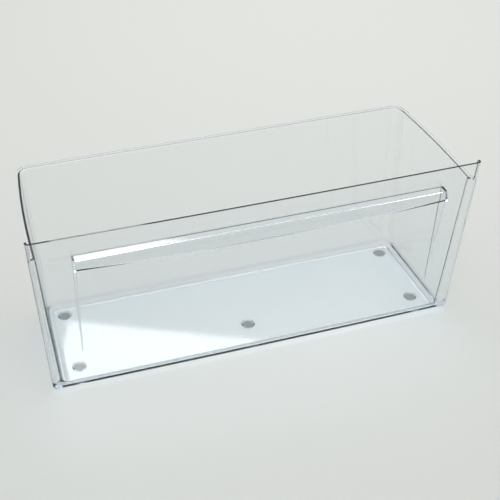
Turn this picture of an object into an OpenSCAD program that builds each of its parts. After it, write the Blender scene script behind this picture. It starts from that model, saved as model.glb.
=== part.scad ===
/* [Front panel] */
// Width of the front panel along its top edge
front_w = 460; // [450:1:520]
// Width of the front panel along its bottom edge
front_base_w = 444; // [438:1:500]
// Height of the front panel's top edge above the shelf
front_h = 202; // [192:1:240]
// How far the front panel's foot sits back from its top edge
front_lean = 18; // [6:0.5:26]
// How far the middle of the front panel bulges forward
front_bulge = 1.5; // [0.5:0.1:1.6]
// Depth of the ears, where the front panel reaches past the side walls
ear_depth = 11; // [10:0.5:14]
// Depth of the straight part of an ear, before it turns in to the side wall
ear_straight = 5.5; // [5:0.5:7]
// Radius of the front panel's upright outer edges
front_edge_r = 3.6; // [2.8:0.1:4.4]

/* [Basin] */
// Wall thickness all round
wall = 2.2; // [1.6:0.1:2.6]
// Thickness of the floor
floor_t = 2.4; // [1.8:0.1:3.5]
// Height of the side and back rim above the shelf
rim_h = 180; // [165:1:188]
// Depth from the front panel's top edge to the back wall, at the rim
rim_d = 169; // [155:1:220]
// Depth from the front panel's top edge to the back wall, at the floor
floor_d = 151; // [142:1:200]
// Width over the side walls at the front of the rim
rim_front_w = 447; // [436:1:448]
// Width over the side walls at the back of the rim
rim_back_w = 431; // [420:1:440]
// Width over the side walls at the front of the floor
floor_front_w = 428; // [418:1:434]
// Width over the side walls at the back of the floor
floor_back_w = 418; // [405:1:426]
// How far the middle of each side rim bows outwards
side_bow = 3; // [0:0.25:5]
// Radius of the upright corners at the back
corner_r = 13; // [11:0.5:20]
// Radius inside, where the walls run into the floor
floor_fillet = 8; // [3:0.5:8.3]
// Radius outside, where the walls run into the floor
base_fillet = 5; // [2.5:0.5:6]

/* [Rim] */
// How far the rim's flange stands out from the walls
flange_w = 2.8; // [1:0.1:4]
// Thickness of the rim's flange
flange_t = 2.4; // [1.6:0.1:4]

/* [Pull lip] */
// Length of the pull lip across the front panel
lip_w = 379; // [300:1:390]
// Height of the lip's top face above the shelf
lip_top = 181; // [165:1:186]
// How far the lip's top edge stands out from the front panel
lip_out = 8; // [6:0.5:14]
// Height of the lip's apron at its two ends
apron_end = 9; // [6:0.5:12]
// Height of the lip's apron in the middle
apron_mid = 13.2; // [12:0.2:20]
// How much the apron flares forward for each unit of its height
apron_flare = 0.4; // [0.1:0.05:0.6]
// Wall thickness of the lip and of its end webs
lip_t = 2; // [1.4:0.1:2.6]
// Height above the shelf at which the end webs run out into the panel
web_foot = 52; // [30:1:90]
// Depth of an end web straight below the lip
web_out = 8.6; // [5:0.2:9.4]
// Thickness of an end web where it runs out
web_tip_t = 1.2; // [0.8:0.1:1.4]
// How far the lip's cheeks reach below the ends of the apron
cheek_drop = 1; // [0.5:0.1:2]

/* [Feet] */
// Diameter of each foot button
foot_d = 15; // [10:0.5:20]
// Height of each foot button
foot_h = 1.6; // [1:0.1:3]
// Distance between the left and right feet
foot_span = 381; // [340:1:385]
// Distance of the front feet behind the front panel's top edge
foot_front_y = 47; // [42:1:60]
// Distance of the back feet behind the front panel's top edge
foot_back_y = 134; // [110:1:134]
// Distance of the middle foot behind the front panel's top edge
foot_mid_y = 58; // [45:1:110]

/* [Hidden] */
clear_plastic = [0.80, 0.84, 0.85, 0.45];
$fn = 32;
front_steps = 6;
corner_steps = 5;
turn_steps = 5;
side_steps = 6;
fillet_steps = 5;
arch_steps = 16;
min_edge_r = 0.8;
ear_fade = 7;
front_reach = lip_out + apron_flare * apron_mid;
back_reach = rim_d + flange_w;
middle_y = (back_reach - front_reach) / 2;

function mix(a, b, t) = a + (b - a) * t;
function clamp(t) = min(max(t, 0), 1);
function panel_y(z) = front_lean * (1 - z / front_h);
function panel_half(z) = mix(front_base_w, front_w, z / front_h) / 2;
function back_y(z) = mix(floor_d, rim_d, z / rim_h);
function bulge(x) = front_bulge * (1 - pow(2 * x / front_w, 2));

// Half width over the side walls at height z and depth y, bowed between front and back
function side_half(z, y) = let (v = clamp((y - panel_y(z)) / (back_y(z) - panel_y(z))))
    mix(mix(floor_front_w, rim_front_w, z / rim_h), mix(floor_back_w, rim_back_w, z / rim_h), v) / 2
    + side_bow * z / rim_h * 4 * v * (1 - v);

// Right half of the drawer's plan at height z, drawn in by inset, from front to back.
// The ears shrink away as the inset reaches ear_fade.
function half_plan(z, inset) =
    let (
        y_front = panel_y(z) + inset,
        y_back = back_y(z) - inset,
        edge_r = max(front_edge_r - inset, min_edge_r),
        ear = clamp((ear_fade - inset) / (ear_fade - wall)),
        y_ear = max(panel_y(z) + ear_straight - inset / 2, y_front + edge_r + 0.5),
        y_side = max(panel_y(z) + ear_depth - inset / 2, y_ear + 2),
        x_side = side_half(z, y_side) - inset,
        x_ear = mix(x_side, panel_half(z) - inset, ear),
        back_r = corner_r - inset,
        y_corner = y_back - back_r,
        x_corner = side_half(z, y_corner) - inset - back_r
    )
    concat(
        [for (i = [0:front_steps]) let (x = (x_ear - edge_r) * i / front_steps)
            [x, y_front - bulge(x)]],
        [for (i = [1:corner_steps]) let (a = 90 * i / corner_steps, x = x_ear - edge_r * (1 - sin(a)))
            [x, y_front - bulge(x) * cos(a) + edge_r * (1 - cos(a))]],
        [for (i = [0:turn_steps]) let (t = i / turn_steps)
            [mix(x_ear, x_side, (1 - cos(180 * t)) / 2), mix(y_ear, y_side, t)]],
        [for (i = [1:side_steps]) let (y = mix(y_side, y_corner, i / side_steps))
            [side_half(z, y) - inset, y]],
        [for (i = [1:corner_steps]) let (a = 90 * i / corner_steps)
            [x_corner + back_r * cos(a), y_corner + back_r * sin(a)]],
        [[0, y_back]]);

function mirrored(points) =
    [for (i = [len(points) - 2:-1:1]) [-points[i][0], points[i][1]]];

function plan(z, inset) = let (half = half_plan(z, inset)) concat(half, mirrored(half));

function ring(z, inset) = [for (p = plan(z, inset)) [p[0], p[1], z]];

// Rings of a skin that starts flat at height z, curves up by a fillet and then runs straight up
function skin_rings(z, inset, fillet, top) =
    concat([for (i = [0:fillet_steps]) let (a = 90 * i / fillet_steps)
                ring(z + fillet * (1 - cos(a)), inset + fillet * (1 - sin(a)))],
           [ring(top, inset)]);

// Closed solid between the first and the last of several rings
module loft(rings) {
    n = len(rings[0]);
    last = len(rings) - 1;
    polyhedron(
        points = [for (r = rings) for (p = r) p],
        faces = concat(
            [[for (i = [0:n - 1]) i]],
            [for (k = [0:last - 1]) for (i = [0:n - 1]) let (j = (i + 1) % n)
                each [[k * n + i, (k + 1) * n + i, (k + 1) * n + j], [k * n + i, (k + 1) * n + j, k * n + j]]],
            [[for (i = [n - 1:-1:0]) last * n + i]]),
        convexity = 6);
}

// Space above the side and back rim, behind the front panel
module space_above_rim() {
    far = back_reach + 10;
    hull() {
        translate([-front_w, panel_y(rim_h) + ear_straight, rim_h])
            cube([2 * front_w, far, 0.5]);
        translate([-front_w, panel_y(front_h + 5) + ear_straight, front_h + 5])
            cube([2 * front_w, far, 0.5]);
    }
}

// Basin and front panel as one thin shell
module shell() {
    difference() {
        loft(skin_rings(foot_h, 0, base_fillet, front_h));
        loft(skin_rings(foot_h + floor_t, wall, floor_fillet, front_h + 1));
        space_above_rim();
    }
}

// Flange round the sides and the back, ending at the ears
module rim_flange() {
    y_start = panel_y(rim_h) + ear_straight - 1;
    translate([0, 0, rim_h - flange_t]) linear_extrude(flange_t) difference() {
        intersection() {
            offset(r = flange_w) polygon(plan(rim_h, 0));
            translate([-panel_half(rim_h) + 0.5, y_start]) square([2 * panel_half(rim_h) - 1, back_reach]);
        }
        polygon(plan(rim_h, wall / 2));
    }
}

// Depth at which the lip and its webs are rooted inside the panel's wall
function root_y(z) = panel_y(z) + (wall - front_bulge) / 2;

// Section through the lip, from the panel out along the top face and down the apron
module lip_section() {
    tip_y = -lip_out - apron_flare * apron_mid;
    tip_z = lip_top - apron_mid;
    polygon([[root_y(lip_top), lip_top], [-lip_out, lip_top], [tip_y, tip_z],
             [tip_y + lip_t, tip_z], [-lip_out + lip_t, lip_top - lip_t],
             [root_y(lip_top), lip_top - lip_t]]);
}

// Front view of the lip: straight along the top, arched along the apron's lower edge
module lip_front_view() {
    half = lip_w / 2;
    polygon(concat([[half, lip_top + 1], [-half, lip_top + 1]],
        [for (i = [0:arch_steps]) let (u = 2 * i / arch_steps - 1)
            [u * half, lip_top - mix(apron_mid, apron_end, u * u)]]));
}

module lip() {
    intersection() {
        rotate([90, 0, 90]) linear_extrude(lip_w - lip_t, center = true) lip_section();
        rotate([90, 0, 0]) linear_extrude(4 * front_reach, center = true) lip_front_view();
    }
}

// Cheek that closes one end of the lip
module lip_cheek() {
    drop = apron_end + cheek_drop;
    rotate([90, 0, 90]) translate([0, 0, lip_w / 2 - lip_t]) linear_extrude(lip_t)
        polygon([[root_y(lip_top), lip_top], [-lip_out, lip_top],
                 [-lip_out - apron_flare * drop, lip_top - drop],
                 [root_y(lip_top - drop), lip_top - drop]]);
}

// Web that runs down the panel from one end of the lip and tapers out
module end_web() {
    top = lip_top - apron_end;
    hull() {
        translate([lip_w / 2 - lip_t, -web_out, top - cheek_drop])
            cube([lip_t, web_out + root_y(top), cheek_drop + 0.5]);
        translate([lip_w / 2 - lip_t, panel_y(web_foot) - bulge(lip_w / 2), web_foot])
            cube([web_tip_t, wall / 2, 0.5]);
    }
}

module pull_lip() {
    lip();
    for (side = [0, 1]) mirror([side, 0, 0]) {
        lip_cheek();
        end_web();
    }
}

// Round button under the floor, domed at its foot
module foot(x, y) {
    translate([x, y, 0]) hull() {
        cylinder(h = foot_h / 4, d = foot_d - 2 * foot_h);
        translate([0, 0, foot_h / 2]) cylinder(h = foot_h / 4, d = foot_d - foot_h / 2);
        translate([0, 0, foot_h]) cylinder(h = floor_t / 2, d = foot_d);
    }
}

module feet() {
    for (side = [-1, 1]) {
        foot(side * foot_span / 2, foot_front_y);
        foot(side * foot_span / 2, foot_back_y);
    }
    foot(0, foot_mid_y);
}

// The whole drawer is one moulding
module drawer() {
    color(clear_plastic) translate([0, -middle_y, 0]) {
        shell();
        rim_flange();
        pull_lip();
        feet();
    }
}

drawer();
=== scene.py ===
import math

import bmesh
import bpy
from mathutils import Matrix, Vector

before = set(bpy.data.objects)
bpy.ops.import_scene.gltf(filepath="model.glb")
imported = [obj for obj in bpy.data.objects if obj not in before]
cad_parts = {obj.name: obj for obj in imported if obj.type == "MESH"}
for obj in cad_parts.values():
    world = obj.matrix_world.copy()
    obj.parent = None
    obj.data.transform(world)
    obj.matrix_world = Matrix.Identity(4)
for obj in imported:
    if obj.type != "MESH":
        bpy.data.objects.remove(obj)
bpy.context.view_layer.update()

# Camera: place, point looked at, and lens for a 36 mm wide picture
CAMERA_PLACE = (-0.2746, -0.8790, 0.7772)
CAMERA_AIM = (0.0210, 0.0354, 0.0585)
CAMERA_LENS = 77.05

FLOOR_HALF = 4.0


def add_camera():
    data = bpy.data.cameras.new("camera")
    data.lens = CAMERA_LENS
    data.sensor_width = 36
    camera = bpy.data.objects.new("camera", data)
    bpy.context.scene.collection.objects.link(camera)
    camera.location = CAMERA_PLACE
    look = Vector(CAMERA_AIM) - Vector(CAMERA_PLACE)
    camera.rotation_euler = look.to_track_quat("-Z", "Y").to_euler()
    bpy.context.scene.camera = camera


def clear_plastic():
    mat = bpy.data.materials.new("clear_plastic")
    mat.use_nodes = True
    nodes, links = mat.node_tree.nodes, mat.node_tree.links
    nodes.clear()
    out = nodes.new("ShaderNodeOutputMaterial")
    skin = nodes.new("ShaderNodeBsdfPrincipled")
    skin.inputs["Base Color"].default_value = (1, 1, 1, 1)
    skin.inputs["Roughness"].default_value = 0.03
    skin.inputs["IOR"].default_value = 1.58
    skin.inputs["Transmission Weight"].default_value = 1.0
    clear = nodes.new("ShaderNodeBsdfTransparent")
    clear.inputs["Color"].default_value = (0.96, 0.97, 0.98, 1)
    path = nodes.new("ShaderNodeLightPath")
    mix = nodes.new("ShaderNodeMixShader")
    links.new(path.outputs["Is Shadow Ray"], mix.inputs[0])
    links.new(skin.outputs[0], mix.inputs[1])
    links.new(clear.outputs[0], mix.inputs[2])
    links.new(mix.outputs[0], out.inputs["Surface"])
    tint = nodes.new("ShaderNodeVolumeAbsorption")
    tint.inputs["Color"].default_value = (0.55, 0.75, 0.90, 1)
    tint.inputs["Density"].default_value = 30
    links.new(tint.outputs[0], out.inputs["Volume"])
    return mat


def pale_floor():
    mat = bpy.data.materials.new("pale_floor")
    mat.use_nodes = True
    skin = mat.node_tree.nodes["Principled BSDF"]
    skin.inputs["Base Color"].default_value = (0.62, 0.63, 0.60, 1)
    skin.inputs["Roughness"].default_value = 0.6
    return mat


def add_floor():
    bm = bmesh.new()
    bmesh.ops.create_grid(bm, x_segments=1, y_segments=1, size=FLOOR_HALF)
    mesh = bpy.data.meshes.new("floor")
    bm.to_mesh(mesh)
    bm.free()
    floor = bpy.data.objects.new("floor", mesh)
    bpy.context.scene.collection.objects.link(floor)
    mesh.materials.append(pale_floor())


def add_light():
    world = bpy.data.worlds.new("studio")
    bpy.context.scene.world = world
    world.use_nodes = True
    nodes, links = world.node_tree.nodes, world.node_tree.links
    back = nodes["Background"]
    coord = nodes.new("ShaderNodeTexCoord")
    split = nodes.new("ShaderNodeSeparateXYZ")
    ramp = nodes.new("ShaderNodeValToRGB")
    links.new(coord.outputs["Generated"], split.inputs[0])
    links.new(split.outputs["Z"], ramp.inputs[0])
    links.new(ramp.outputs[0], back.inputs["Color"])
    ramp.color_ramp.elements[0].position = 0.0
    ramp.color_ramp.elements[0].color = (0.10, 0.12, 0.15, 1)
    ramp.color_ramp.elements[1].position = 0.6
    ramp.color_ramp.elements[1].color = (0.85, 0.86, 0.86, 1)
    back.inputs["Strength"].default_value = 1.0
    lamp = bpy.data.lights.new("softbox", "AREA")
    lamp.shape = "RECTANGLE"
    lamp.size = 1.6
    lamp.size_y = 1.0
    lamp.energy = 18
    box = bpy.data.objects.new("softbox", lamp)
    bpy.context.scene.collection.objects.link(box)
    box.location = (0.5, 1.0, 1.7)
    box.rotation_euler = (Vector((0, 0, 0.1)) - box.location).to_track_quat("-Z", "Y").to_euler()


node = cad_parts["drawer"]
node.data.materials.clear()
node.data.materials.append(clear_plastic())
add_camera()
add_floor()
add_light()
bpy.context.scene.view_settings.view_transform = "Standard"
